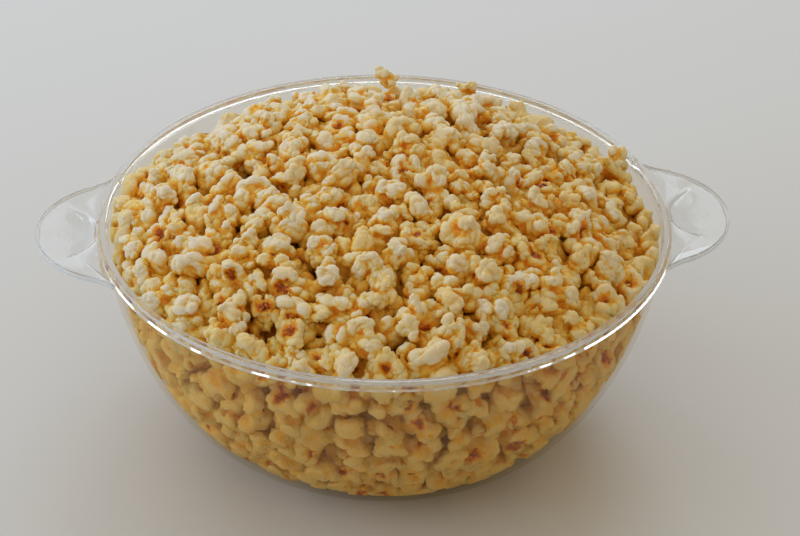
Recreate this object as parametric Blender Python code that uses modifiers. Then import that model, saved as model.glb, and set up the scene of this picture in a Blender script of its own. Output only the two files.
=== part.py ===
"""A deep clear plastic bowl with two flat tab handles, heaped with popcorn.

Units are metres, +Z is up, the bowl stands on z = 0 and its tabs lie along X.
Two solids are made: the moulded bowl, and the popcorn as one heap.
"""
import bmesh
import bpy
import math
import random
from mathutils import Matrix, Vector
from mathutils.geometry import delaunay_2d_cdt

OBJECT_NAME = "bowl_of_popcorn"

# Bowl body
BOWL_HEIGHT = 0.1405
BASE_RADIUS = 0.0700
BODY_RADIUS = 0.1665
WALL = 0.0025
FLOOR = 0.0030
BODY_POWER_RADIAL = 0.909
BODY_POWER_HEIGHT = 1.242
BODY_POINTS = 11
AROUND = 60

# Rim: a flat lip on top and a short band that widens downwards
LIP_INNER_RADIUS = 0.1636
LIP_OUTER_RADIUS = 0.1668
BAND_RADIUS = 0.1705
BAND_HEIGHT = 0.0055
EDGE_ROUND = 0.0006

# Tabs: flat ears with a turned-down edge and a thumb dish, deepest beside the rim
TAB_TOP = BOWL_HEIGHT - 0.0034
TAB_SHEET = 0.0020
TAB_EDGE_HEIGHT = 0.0040
TAB_EDGE_WIDTH = 0.0024
TAB_EDGE_ROUND = 0.0005
TAB_TIP = 0.2063
TAB_ROOT = 0.1660
ROOT_STEPS = 12
DISH_CENTRE = 0.1985
DISH_RADIUS = 0.0300
DISH_WALL = 0.0036
DISH_DEPTH = 0.0036
DISH_NEAR = 0.1715
DISH_FAR = 0.1910
DISH_MARGIN = 0.0010

# Popcorn heap: the height of its dome, and how it sinks beside the wall
HEAP_TOP = 0.0400
HEAP_REACH = 0.1680
HEAP_POWER = 2.4
SINK_ALL_ROUND = 0.004
SINK_REACH = 0.160
SINK_POWER = 6
# Where it sinks most: direction and spread in degrees, depth
SINKS = ((4.0, 25.0, 0.023), (54.0, 20.0, 0.014), (128.0, 27.0, 0.015))
SWELL = 0.0022

# Filling under the pieces: its side has one bump in three points, its top is a plain dome
CORE_SEED = 23
WALL_GAP = 0.0005
SIDE_AROUND = 60
SIDE_ROWS = 14
SIDE_LOW = 0.0062
SIDE_HIGH = 0.1240
SIDE_POWER = 1.35
SIDE_JITTER = 0.0010
BUMP_INSET = (0.0008, 0.0030)
HOLLOW_INSET = (0.0065, 0.0090)
CORE_DROP = 0.0150
DOME_REACH = 0.1300
DOME_COUNTS = (26, 20, 13, 6, 1)

# Pieces on top: a ring along the wall, then a spread over the dome
PLACES_SEED = 7
RING_COUNT = 38
TOP_COUNT = 116
TOP_REACH = 0.1385
PIECE_SMALL = 0.0100
PIECE_LARGE = 0.0138
PIECE_STRETCH = (1.22, 1.0, 0.92)
PIECE_LUMPS = (0.86, 1.14)
PLACE_JITTER = 0.0025
HEIGHT_JITTER = 0.0020
RIM_GAP = 0.0012
# Pieces that stand out by the rim: x, y, height of the top above the rim, size
STANDING_PIECES = (
    (0.0120, 0.1425, 0.0210, 0.0078),
    (0.0615, 0.1285, 0.0180, 0.0072),
    (0.1450, 0.0570, 0.0090, 0.0080),
    (0.1500, 0.0190, 0.0060, 0.0085),
    (-0.0630, 0.1400, 0.0030, 0.0090),
    (-0.1300, 0.0850, 0.0010, 0.0088),
)
GOLDEN_ANGLE = math.pi * (3.0 - math.sqrt(5.0))

SHARP_ANGLE = math.radians(38.0)
CLEAR_COLOUR = (0.80, 0.85, 0.88, 1.0)
CLEAR_ALPHA = 0.35
POPCORN_COLOUR = (0.86, 0.72, 0.42, 1.0)


def clear_scene():
    for old in list(bpy.data.objects):
        bpy.data.objects.remove(old, do_unlink=True)


def make_collection(name):
    collection = bpy.data.collections.new(name)
    bpy.context.scene.collection.children.link(collection)
    return collection


def clear_plastic():
    material = bpy.data.materials.new("clear_plastic")
    material.use_nodes = True
    shader = material.node_tree.nodes["Principled BSDF"]
    shader.inputs["Base Color"].default_value = CLEAR_COLOUR
    shader.inputs["Roughness"].default_value = 0.08
    shader.inputs["IOR"].default_value = 1.5
    shader.inputs["Transmission Weight"].default_value = 0.9
    shader.inputs["Alpha"].default_value = CLEAR_ALPHA
    material.diffuse_color = CLEAR_COLOUR[:3] + (CLEAR_ALPHA,)
    return material


def popped_corn():
    material = bpy.data.materials.new("popped_corn")
    material.use_nodes = True
    shader = material.node_tree.nodes["Principled BSDF"]
    shader.inputs["Base Color"].default_value = POPCORN_COLOUR
    shader.inputs["Roughness"].default_value = 0.75
    material.diffuse_color = POPCORN_COLOUR
    return material


def new_object(name, mesh, collection, material):
    made = bpy.data.objects.new(name, mesh)
    collection.objects.link(made)
    made.data.materials.append(material)
    return made


# Bowl


def body_outside(angle):
    """Radius and height of the body's outside, from the base (0) to the rim (half pi)."""
    radius = BASE_RADIUS + (BODY_RADIUS - BASE_RADIUS) * math.sin(angle) ** BODY_POWER_RADIAL
    height = BOWL_HEIGHT * (1.0 - math.cos(angle) ** BODY_POWER_HEIGHT)
    return radius, height


def body_inside(angle):
    """The same curve moved in by the wall's thickness."""
    step = 0.002
    low = body_outside(max(angle - step, 0.0))
    high = body_outside(min(angle + step, math.pi / 2.0))
    along = Vector((high[0] - low[0], high[1] - low[1])).normalized()
    radius, height = body_outside(angle)
    return radius - along.y * WALL, height + along.x * WALL


def inner_radius(height):
    """Inside radius of the bowl at a height, found by halving."""
    low = 0.0
    high = math.pi / 2.0
    for _ in range(40):
        middle = 0.5 * (low + high)
        if body_inside(middle)[1] < height:
            low = middle
        else:
            high = middle
    return body_inside(low)[0]


def bowl_profile():
    """Section of the bowl from the middle of its floor, over the rim, to the middle of its base."""
    angles = [math.pi / 2.0 * (index / BODY_POINTS) for index in range(BODY_POINTS + 1)]
    points = [(0.0, FLOOR)]
    for angle in angles[1:-1]:
        radius, height = body_inside(angle)
        points.append((radius, max(height, FLOOR)))
    points.append((LIP_INNER_RADIUS, BOWL_HEIGHT - EDGE_ROUND))
    points.append((LIP_INNER_RADIUS + EDGE_ROUND, BOWL_HEIGHT))
    points.append((LIP_OUTER_RADIUS - EDGE_ROUND, BOWL_HEIGHT))
    points.append((LIP_OUTER_RADIUS, BOWL_HEIGHT - EDGE_ROUND))
    points.append((BAND_RADIUS, BOWL_HEIGHT - BAND_HEIGHT + EDGE_ROUND))
    points.append((BAND_RADIUS - EDGE_ROUND, BOWL_HEIGHT - BAND_HEIGHT))
    points.append((BODY_RADIUS + EDGE_ROUND, BOWL_HEIGHT - BAND_HEIGHT))
    for angle in reversed(angles[:-1]):
        radius, height = body_outside(angle)
        if height < BOWL_HEIGHT - BAND_HEIGHT - EDGE_ROUND:
            points.append((radius, height))
    points.append((0.0, 0.0))
    return points


def turned(name, profile, collection, material):
    mesh = bpy.data.meshes.new(name)
    vertices = [(radius, 0.0, height) for radius, height in profile]
    edges = [(index, index + 1) for index in range(len(profile) - 1)]
    mesh.from_pydata(vertices, edges, [])
    made = new_object(name, mesh, collection, material)
    screw = made.modifiers.new("turn", 'SCREW')
    screw.axis = 'Z'
    screw.steps = AROUND
    screw.render_steps = AROUND
    screw.use_merge_vertices = True
    screw.merge_threshold = 0.0001
    return made


def apply_modifiers(made):
    graph = bpy.context.evaluated_depsgraph_get()
    mesh = bpy.data.meshes.new_from_object(made.evaluated_get(graph))
    mesh.name = made.name
    made.modifiers.clear()
    made.data = mesh


def tab_outline():
    """Plan outline of the right tab: its free edge, then an arc hidden in the rim band."""
    side = [
        (0.1570, 0.0620), (0.1612, 0.0572), (0.1660, 0.0534), (0.1715, 0.0502), (0.1780, 0.0470),
        (0.1845, 0.0428), (0.1905, 0.0375), (0.1965, 0.0303), (0.2012, 0.0220), (0.2045, 0.0122),
    ]
    outline = [(x, -y) for x, y in side] + [(TAB_TIP, 0.0)] + [(x, y) for x, y in reversed(side)]
    corner = math.hypot(*side[0])
    reach = math.atan2(side[0][1], side[0][0])
    for index in range(1, ROOT_STEPS):
        share = index / ROOT_STEPS
        angle = reach * (1.0 - 2.0 * share)
        radius = corner + (TAB_ROOT - corner) * min(1.0, 4.0 * share, 4.0 * (1.0 - share))
        outline.append((radius * math.cos(angle), radius * math.sin(angle)))
    return outline


def scoop(x):
    """Share of the dish's depth: full beside the rim, running out level towards the tab's tip."""
    share = min(max((DISH_FAR - x) / (DISH_FAR - DISH_NEAR), 0.0), 1.0)
    return share * share * (3.0 - 2.0 * share)


def tab_ring(shape, side, distances, depth, sunk):
    """One closed row of points round the dish's centre; sunk is its share of the dish's depth."""
    ring = []
    for (x, y), distance in zip(tab_outline(), distances):
        length = math.hypot(x - DISH_CENTRE, y)
        px = DISH_CENTRE + (x - DISH_CENTRE) * distance / length
        py = y * distance / length
        height = TAB_TOP - depth - sunk * DISH_DEPTH * scoop(px)
        ring.append(shape.verts.new((side * px, py, height)))
    return ring


def tab(name, side, collection, material):
    """One ear: a thin sheet with a turned-down edge and a dish for the thumb."""
    edge = [math.hypot(x - DISH_CENTRE, y) for x, y in tab_outline()]
    crown = [distance - TAB_EDGE_ROUND for distance in edge]
    inside = [distance - TAB_EDGE_WIDTH for distance in edge]
    hollow = [distance - TAB_EDGE_WIDTH - 0.4 * DISH_MARGIN for distance in edge]
    dish = [min(DISH_RADIUS, distance - TAB_EDGE_WIDTH - DISH_MARGIN) for distance in edge]
    low_dish = [distance + 0.4 * DISH_MARGIN for distance in dish]
    foot = [distance - DISH_WALL for distance in dish]
    rows = [
        (foot, 0.0, 1.0), (dish, 0.0, 0.0), (crown, 0.0, 0.0), (edge, TAB_EDGE_ROUND, 0.0),
        (edge, TAB_EDGE_HEIGHT - TAB_EDGE_ROUND, 0.0), (crown, TAB_EDGE_HEIGHT, 0.0),
        (inside, TAB_EDGE_HEIGHT, 0.0), (hollow, TAB_SHEET, 0.0), (low_dish, TAB_SHEET, 0.0),
        (foot, TAB_SHEET, 1.0),
    ]
    shape = bmesh.new()
    rings = [tab_ring(shape, side, distances, depth, sunk) for distances, depth, sunk in rows]
    top_middle = shape.verts.new((side * DISH_CENTRE, 0.0, TAB_TOP))
    low_middle = shape.verts.new((side * DISH_CENTRE, 0.0, TAB_TOP - TAB_SHEET))
    for index in range(len(edge)):
        following = (index + 1) % len(edge)
        for upper, lower in zip(rings, rings[1:]):
            shape.faces.new((upper[index], upper[following], lower[following], lower[index]))
        shape.faces.new((rings[0][following], rings[0][index], top_middle))
        shape.faces.new((rings[-1][index], rings[-1][following], low_middle))
    bmesh.ops.recalc_face_normals(shape, faces=shape.faces)
    bmesh.ops.triangulate(shape, faces=shape.faces)
    mesh = bpy.data.meshes.new(name)
    shape.to_mesh(mesh)
    shape.free()
    return new_object(name, mesh, collection, material)


def unite(made, pieces, solver):
    """Joins a collection's objects to one object, then removes them."""
    union = made.modifiers.new("join", 'BOOLEAN')
    union.operation = 'UNION'
    union.solver = solver
    union.operand_type = 'COLLECTION'
    union.collection = pieces
    apply_modifiers(made)
    for piece in list(pieces.objects):
        bpy.data.objects.remove(piece, do_unlink=True)
    bpy.data.collections.remove(pieces)


def keep_largest_body(made):
    """Drops any piece that the union left loose beside the main body."""
    shape = bmesh.new()
    shape.from_mesh(made.data)
    bodies = []
    waiting = set(shape.verts)
    while waiting:
        reached = {waiting.pop()}
        front = list(reached)
        while front:
            for edge in front.pop().link_edges:
                for vertex in edge.verts:
                    if vertex not in reached:
                        reached.add(vertex)
                        front.append(vertex)
        waiting -= reached
        bodies.append(reached)
    largest = max(bodies, key=len)
    loose = [vertex for vertex in shape.verts if vertex not in largest]
    bmesh.ops.delete(shape, geom=loose, context='VERTS')
    shape.to_mesh(made.data)
    shape.free()


def make_bowl(collection, material):
    bowl = turned("bowl", bowl_profile(), collection, material)
    apply_modifiers(bowl)
    ears = make_collection("ears")
    for name, side in (("tab_right", 1.0), ("tab_left", -1.0)):
        ear = tab(name, side, ears, material)
        ear.hide_render = True
        ear.display_type = 'WIRE'
    unite(bowl, ears, 'EXACT')
    bowl.data.shade_smooth()
    bowl.data.set_sharp_from_angle(angle=SHARP_ANGLE)
    return bowl


# Popcorn


def heap_top(x, y):
    """Height of the tops of the popcorn: a dome that sinks beside the wall, most in three places."""
    radius = math.hypot(x, y)
    angle = math.degrees(math.atan2(y, x))
    dome = HEAP_TOP * (1.0 - (radius / HEAP_REACH) ** HEAP_POWER)
    sink = SINK_ALL_ROUND
    for centre, spread, depth in SINKS:
        away = (angle - centre + 180.0) % 360.0 - 180.0
        sink += depth * math.exp(-((away / spread) ** 2))
    swell = SWELL * math.sin(41.0 * x + 1.3) * math.cos(37.0 * y - 0.6)
    return BOWL_HEIGHT + dome - sink * (radius / SINK_REACH) ** SINK_POWER + swell


def side_point(row, index, draw):
    """A point on the filling's side, near the wall where it is a bump and further in between."""
    angle = 2.0 * math.pi * (index + 0.5 * (row % 2)) / SIDE_AROUND
    share = (row / (SIDE_ROWS - 1)) ** SIDE_POWER
    height = SIDE_LOW + (SIDE_HIGH - SIDE_LOW) * share + draw.uniform(-SIDE_JITTER, SIDE_JITTER)
    inset = BUMP_INSET if (index + row * 2) % 3 == 0 else HOLLOW_INSET
    radius = (inner_radius(height) - draw.uniform(*inset)) * math.cos(math.pi / AROUND)
    return radius * math.cos(angle), radius * math.sin(angle), height


def cap_core(shape, rim):
    """Closes the filling with a dome of evenly sized triangles inside its top row of points."""
    flat = [Vector((vertex.co.x, vertex.co.y)) for vertex in rim]
    edges = [(index, (index + 1) % len(rim)) for index in range(len(rim))]
    for ring, count in enumerate(DOME_COUNTS):
        radius = DOME_REACH * (1.0 - ring / (len(DOME_COUNTS) - 1))
        for index in range(count):
            angle = 2.0 * math.pi * (index + 0.5 * (ring % 2)) / count
            flat.append(Vector((radius * math.cos(angle), radius * math.sin(angle))))
    points, _, faces, _, _, _ = delaunay_2d_cdt(flat, edges, [], 1, 1.0e-6)
    made = list(rim)
    for point in points[len(rim):]:
        made.append(shape.verts.new((point.x, point.y, heap_top(point.x, point.y) - CORE_DROP)))
    for face in faces:
        shape.faces.new([made[index] for index in face])


def make_core(collection, material):
    """Filling under the pieces: a side with bumps of their size, and a plain low dome on top."""
    draw = random.Random(CORE_SEED)
    shape = bmesh.new()
    levels = []
    for row in range(SIDE_ROWS):
        points = [side_point(row, index, draw) for index in range(SIDE_AROUND)]
        levels.append([shape.verts.new(point) for point in points])
    for row, (low, high) in enumerate(zip(levels, levels[1:])):
        for index in range(SIDE_AROUND):
            following = (index + 1) % SIDE_AROUND
            if row % 2:
                shape.faces.new((low[index], low[following], high[following]))
                shape.faces.new((low[index], high[following], high[index]))
            else:
                shape.faces.new((low[index], low[following], high[index]))
                shape.faces.new((low[following], high[following], high[index]))
    bottom = shape.verts.new((0.0, 0.0, SIDE_LOW - 2.0 * SIDE_JITTER))
    for index in range(SIDE_AROUND):
        shape.faces.new((levels[0][(index + 1) % SIDE_AROUND], levels[0][index], bottom))
    cap_core(shape, levels[-1])
    bmesh.ops.recalc_face_normals(shape, faces=shape.faces)
    mesh = bpy.data.meshes.new("popcorn")
    shape.to_mesh(mesh)
    shape.free()
    return new_object("popcorn", mesh, collection, material)


def keep_inside(point):
    """Presses a point that would reach the wall or floor back to a small gap from it."""
    height = max(point.z, FLOOR + WALL_GAP)
    limit = LIP_INNER_RADIUS - RIM_GAP
    if height < BOWL_HEIGHT - EDGE_ROUND:
        limit = min(limit, inner_radius(height) * math.cos(math.pi / AROUND) - WALL_GAP)
    radius = math.hypot(point.x, point.y)
    share = min(1.0, limit / radius) if radius > 0.0 else 1.0
    return Vector((point.x * share, point.y * share, height))


def any_turn(draw):
    axis = Vector((draw.gauss(0.0, 1.0), draw.gauss(0.0, 1.0), draw.gauss(0.0, 1.0))).normalized()
    return Matrix.Rotation(draw.uniform(0.0, 2.0 * math.pi), 3, axis)


def piece_of_corn(centre, size, draw, collection, material):
    """One lumpy twenty-sided piece, turned any way and pressed inside the bowl."""
    turn = any_turn(draw) @ Matrix.Diagonal(Vector(PIECE_STRETCH) * size)
    shape = bmesh.new()
    bmesh.ops.create_icosphere(shape, subdivisions=1, radius=1.0)
    for vertex in shape.verts:
        vertex.co = keep_inside(turn @ vertex.co * draw.uniform(*PIECE_LUMPS) + centre)
    mesh = bpy.data.meshes.new("piece")
    shape.to_mesh(mesh)
    shape.free()
    return new_object("piece", mesh, collection, material)


def place_on_heap(x, y, size, draw):
    """The centre of a piece whose top reaches about the heap's top there."""
    return Vector((x, y, heap_top(x, y) - size + draw.uniform(-HEIGHT_JITTER, HEIGHT_JITTER)))


def top_places():
    """Centres and sizes of the pieces on top: the ring, the sunflower-like spread, the tall ones."""
    draw = random.Random(PLACES_SEED)
    places = []
    for index in range(RING_COUNT):
        size = draw.uniform(PIECE_SMALL, PIECE_LARGE)
        radius = LIP_INNER_RADIUS - size * draw.uniform(1.0, 1.2)
        angle = 2.0 * math.pi * (index + draw.uniform(-0.15, 0.15)) / RING_COUNT
        centre = place_on_heap(radius * math.cos(angle), radius * math.sin(angle), size, draw)
        places.append((centre, size))
    for index in range(TOP_COUNT):
        size = draw.uniform(PIECE_SMALL, PIECE_LARGE)
        radius = TOP_REACH * math.sqrt((index + 0.5) / TOP_COUNT)
        angle = index * GOLDEN_ANGLE
        x = radius * math.cos(angle) + draw.uniform(-PLACE_JITTER, PLACE_JITTER)
        y = radius * math.sin(angle) + draw.uniform(-PLACE_JITTER, PLACE_JITTER)
        places.append((place_on_heap(x, y, size, draw), size))
    for x, y, top, size in STANDING_PIECES:
        places.append((Vector((x, y, BOWL_HEIGHT + top - size)), size))
    return places


def make_popcorn(collection, material):
    core = make_core(collection, material)
    pieces = make_collection("pieces")
    draw = random.Random(CORE_SEED)
    for centre, size in top_places():
        piece_of_corn(centre, size, draw, pieces, material)
    unite(core, pieces, 'MANIFOLD')
    keep_largest_body(core)
    core.data.shade_flat()
    return core


def main():
    clear_scene()
    collection = make_collection(OBJECT_NAME)
    make_bowl(collection, clear_plastic())
    make_popcorn(collection, popped_corn())


main()
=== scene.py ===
import math
import random

import bmesh
import bpy
import numpy as np
from mathutils import Matrix, Vector, noise


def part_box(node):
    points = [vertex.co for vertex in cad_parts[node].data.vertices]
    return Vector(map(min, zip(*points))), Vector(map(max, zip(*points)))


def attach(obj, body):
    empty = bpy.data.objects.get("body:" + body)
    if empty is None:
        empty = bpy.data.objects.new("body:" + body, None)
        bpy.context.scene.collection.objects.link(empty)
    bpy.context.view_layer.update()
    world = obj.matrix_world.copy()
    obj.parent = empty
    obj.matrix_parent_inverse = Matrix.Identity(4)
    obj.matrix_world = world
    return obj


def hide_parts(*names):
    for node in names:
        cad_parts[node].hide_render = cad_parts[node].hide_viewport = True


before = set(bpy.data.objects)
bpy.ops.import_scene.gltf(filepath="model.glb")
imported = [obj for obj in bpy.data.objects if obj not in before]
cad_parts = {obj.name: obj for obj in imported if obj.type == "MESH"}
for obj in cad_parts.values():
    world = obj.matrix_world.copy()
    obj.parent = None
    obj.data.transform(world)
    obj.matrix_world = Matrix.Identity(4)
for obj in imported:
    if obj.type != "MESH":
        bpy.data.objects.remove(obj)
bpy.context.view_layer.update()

# Bowl, read from the frame where it states it (metres)
BOWL_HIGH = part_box("bowl")[1]
RIM = BOWL_HIGH.z
TAB_TIP = BOWL_HIGH.x
BAND_RADIUS = BOWL_HIGH.y
BASE_RADIUS = 0.0700
BODY_RADIUS = 0.1665
WALL = 0.0025
FLOOR = 0.0030
BODY_POWER_RADIAL = 0.909
BODY_POWER_HEIGHT = 1.242
LIP_INNER_RADIUS = 0.1652
LIP_OUTER_RADIUS = 0.1688
BAND_HEIGHT = 0.0055
EDGE_ROUND = 0.0006
# The wall's inside stops this far under the rim and runs on to the lip
LIP_BLEND = 0.0030
# The band's underside ends this far outside the body, and meets it at this share of its curve
BAND_OVERLAP = 0.0001
BAND_END_SHARE = 0.80
BASE_EDGE = 0.0040
AROUND = 192
BODY_POINTS = 40
CURVE_POINTS = 200
# A rounded corner takes at most this share of the two lines that meet there
CORNER_SHARE = 0.45
MERGE_DISTANCE = 0.00001
# Edges flatter than this are shaded smooth (degrees)
SMOOTH_BELOW = 50.0

# Tabs
TAB_TOP = RIM - 0.0034
TAB_SHEET = 0.0020
TAB_EDGE_HEIGHT = 0.0040
TAB_EDGE_WIDTH = 0.0024
TAB_EDGE_ROUND = 0.0005
TAB_ROOT = 0.1660
DISH_CENTRE = 0.1985
DISH_RADIUS = 0.0300
DISH_WALL = 0.0036
DISH_DEPTH = 0.0036
DISH_NEAR = 0.1715
DISH_FAR = 0.1910
# Flat strip left between the dish and the turned-down edge
DISH_MARGIN = 0.0010
DISH_LEAST = 0.0005
DISH_STEPS = 5
ROUND_STEPS = 4
# Points under the turned-down edge: distance past its width, depth below the top
UNDER_EDGE = (
    (-0.0003, TAB_EDGE_HEIGHT),
    (0.0, TAB_EDGE_HEIGHT - 0.0004),
    (0.0002, TAB_SHEET + 0.0003),
    (0.0006, TAB_SHEET),
)
# Free edge of the tab in plan, from the rim band to beside the tip; the other half mirrors it
TAB_SIDE = (
    (0.1570, 0.0620), (0.1612, 0.0572), (0.1660, 0.0534), (0.1715, 0.0502), (0.1780, 0.0470),
    (0.1845, 0.0428), (0.1905, 0.0375), (0.1965, 0.0303), (0.2012, 0.0220), (0.2045, 0.0122),
)

# One flake, in its own radii: lobes round a middle, and small puffs on the lobes
LOBE_COUNTS = (3, 4, 4, 5)
LOWEST_LOBE = -0.40
LOBE_SPACING = 1.15
CROWDED_SPACING = 0.95
LOBE_BREADTH = (0.42, 0.62)
LOBE_SLIMNESS = (0.66, 0.92)
LOBE_THICKNESS = (0.26, 0.38)
LOBE_REACH = (0.44, 0.60)
LOBE_TILT = 0.35
PUFF_COUNTS = (0, 0, 1, 2)
PUFF_LIFT = (0.02, 0.20)
PUFF_SIDE = (0.55, 0.85)
PUFF_SIZE = (0.22, 0.32)
PUFF_STRETCH = (1.0, 1.5)
PUFF_FLATNESS = 0.9
SKIN_CELL = 0.036
# Swelling cells of the skin: height, and number to a radius; the warp bends their edges
SWELLS = ((0.130, 1.7), (0.017, 4.4))
SWELL_LEVEL = 0.7
CELL_EDGE = 0.45
WARP_SCALE = 2.3
WARP_AMOUNT = 0.16
# The cup where the hull sits: its size, its ragged edge and how far it is pushed in
CUP_SIZE = (0.27, 0.50)
CUP_EDGE = 0.20
CUP_DEPTH = 0.50
RAGGED_SCALE = 2.6
RAGGED_AMOUNT = 0.22
# Within this radius a point counts as more creased the nearer it lies to the middle
CREASE_RADIUS = 0.80
# A flake's radius is the distance that this percentage of its points don't pass
RADIUS_PERCENTILE = 92

# Popcorn heap
SEED = 23
PLACES_SEED = 7
HEAP_TOP = 0.0400
HEAP_REACH = 0.1680
HEAP_POWER = 2.4
SINK_ALL_ROUND = 0.004
SINK_RADIUS = 0.160
SINK_POWER = 6
SWELL_HEIGHT = 0.0022
# Where the heap sinks beside the wall: direction and spread in degrees, depth
SINKS = ((4.0, 25.0, 0.023), (54.0, 20.0, 0.014), (128.0, 27.0, 0.015))
GOLDEN_ANGLE = math.pi * (3.0 - math.sqrt(5.0))
KINDS = 22
# Triangles of a flake: on top, in the gaps between, behind the wall, and hardly seen
FINE, MEDIUM, SEEN_THROUGH, COARSE = 2400, 900, 500, 250
WALL_GAP = 0.0004
HEAP_EDGE = 0.1636
# How far a flake strays from its place sideways and in height
PLACE_JITTER = 0.0025
HEIGHT_JITTER = 0.0020
# Each layer's spiral is turned against the others by its depth (radians for each metre)
LAYER_TURN = 400.0
# Lowest and highest row of the flakes behind the wall
WALL_LOW = 0.012
WALL_HIGH = 0.128
# Share of the flakes that turn their hull side outward
HULL_SHOWN = 0.42
# Share of the flakes with a faint hull, and how strong that is
FAINT_SHARE = 0.25
FAINT_HULL = 0.35
FLAKE_STRETCH = 1.05
FLAKE_LENGTH = (0.90, 1.28)
FLAKE_HEIGHT = (0.82, 1.06)
BUTTER_SPREAD = 0.30
# Each flake takes its blotches from another place in the pattern, up to this far off
PATTERN_SHIFT = 60.0
# Points this near the heap's top don't count as sunk, and points this much further in are deep, in full
# painted shade
TOP_SKIN = 0.007
DEEP_RANGE = 0.017
# How filled the space in front of a point is when it begins to count as crowded and its painted shade
# begins, and the range up to full
CROWD_FROM = 0.16
CROWD_RANGE = 0.40
# The painted shade behind the wall, a deeper colour, begins this far under the rim and comes in over this
# height
WARM_FROM = 0.004
WARM_RANGE = 0.012
# The hidden core: how far it lies inside the wall and under the top, and where its side ends
CORE_INSET = 0.0180
CORE_BOTTOM = 0.016
CORE_SHOULDER = 0.118
CORE_SUNK = 0.0300
# How much painted shade the popcorn behind the wall has at least: a deeper colour standing in for shade
# and warm bounced light
WALL_PAINTED_SHADE = 0.60
# Painted shade: the heap is yellower towards the right and the front, away from the cool lamps at the
# left and behind; change for each metre in x and in y
PAINTED_SHADE_SLOPE = (1.7, -1.6)
# Pieces that stand out by the rim: x, y, height of the top above the rim, size
STANDING_PIECES = (
    (0.0120, 0.1425, 0.0210, 0.0078),
    (0.0615, 0.1285, 0.0180, 0.0072),
    (0.1450, 0.0570, 0.0090, 0.0080),
    (0.1500, 0.0190, 0.0060, 0.0085),
    (-0.0630, 0.1400, 0.0030, 0.0090),
    (-0.1300, 0.0850, 0.0010, 0.0088),
)

# Camera at the photograph's viewing angle
CAMERA_AZIMUTH = -5.1
CAMERA_ELEVATION = 33.58
CAMERA_ROLL = 0.95
CAMERA_DISTANCE = 1.765
CAMERA_LENS = 134.0
# Where the camera aims, from the middle of the rim
AIM_RIGHT = 0.0094
AIM_DOWN = 0.0305
SENSOR_WIDTH = 36.0


# Shapes


def body_outside(angle):
    """Radius and height of the body's outside, from the base (0) to the rim (half pi)."""
    radius = BASE_RADIUS + (BODY_RADIUS - BASE_RADIUS) * math.sin(angle) ** BODY_POWER_RADIAL
    height = RIM * (1.0 - math.cos(angle) ** BODY_POWER_HEIGHT)
    return radius, height


def body_inside(angle):
    """The same curve moved in by the wall's thickness."""
    step = 0.002
    low = body_outside(max(angle - step, 0.0))
    high = body_outside(min(angle + step, math.pi / 2.0))
    along = Vector((high[0] - low[0], high[1] - low[1])).normalized()
    radius, height = body_outside(angle)
    return radius - along.y * WALL, height + along.x * WALL


def inside_curve():
    """Heights and inside radii of the bowl, rising, for looking a radius up by height."""
    points = [body_inside(math.pi / 2.0 * share) for share in np.linspace(0.0, 1.0, CURVE_POINTS)]
    radii = np.array([point[0] for point in points])
    heights = np.maximum.accumulate(np.array([point[1] for point in points]))
    return heights, radii


INSIDE_HEIGHTS, INSIDE_RADII = inside_curve()


def inner_radius(height):
    return np.interp(height, INSIDE_HEIGHTS, INSIDE_RADII)


def rounded(points, radius, steps):
    """The same outline with its inner corners turned into short arcs."""
    result = [points[0]]
    for before, corner, after in zip(points, points[1:], points[2:]):
        corner = Vector(corner)
        to_before = Vector(before) - corner
        to_after = Vector(after) - corner
        reach = min(radius, to_before.length * CORNER_SHARE, to_after.length * CORNER_SHARE)
        start = corner + to_before.normalized() * reach
        end = corner + to_after.normalized() * reach
        for step in range(steps + 1):
            share = step / steps
            result.append(tuple(start.lerp(corner, share).lerp(corner.lerp(end, share), share)))
    result.append(points[-1])
    return result


def bowl_profile():
    """Section of the bowl from the middle of its floor, over the rim, to the middle of its base."""
    angles = [math.pi / 2.0 * index / BODY_POINTS for index in range(BODY_POINTS + 1)]
    inside = [(0.0, FLOOR)]
    for angle in angles[1:-1]:
        radius, height = body_inside(angle)
        if height < RIM - LIP_BLEND:
            inside.append((radius, max(height, FLOOR)))
    rim = rounded([
        inside[-1],
        (LIP_INNER_RADIUS, RIM),
        (LIP_OUTER_RADIUS, RIM),
        (BAND_RADIUS, RIM - BAND_HEIGHT),
        (BODY_RADIUS + BAND_OVERLAP, RIM - BAND_HEIGHT),
        body_outside(math.pi / 2.0 * BAND_END_SHARE),
    ], EDGE_ROUND, 4)
    outside = []
    for angle in reversed(angles[1:-1]):
        radius, height = body_outside(angle)
        if height < rim[-1][1]:
            outside.append((radius, height))
    return inside[:-1] + rim + outside + [(BASE_RADIUS - BASE_EDGE, 0.0), (0.0, 0.0)]


def new_object(name, mesh, material):
    made = bpy.data.objects.new(name, mesh)
    bpy.context.scene.collection.objects.link(made)
    mesh.materials.append(material)
    return made


def evaluated_mesh(made):
    graph = bpy.context.evaluated_depsgraph_get()
    return bpy.data.meshes.new_from_object(made.evaluated_get(graph))


def turned(name, profile, material):
    mesh = bpy.data.meshes.new(name)
    vertices = [(radius, 0.0, height) for radius, height in profile]
    mesh.from_pydata(vertices, [(index, index + 1) for index in range(len(profile) - 1)], [])
    made = new_object(name, mesh, material)
    screw = made.modifiers.new("turn", 'SCREW')
    screw.steps = AROUND
    screw.render_steps = AROUND
    screw.use_merge_vertices = True
    screw.merge_threshold = MERGE_DISTANCE
    made.data = evaluated_mesh(made)
    made.modifiers.clear()
    return made


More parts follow.
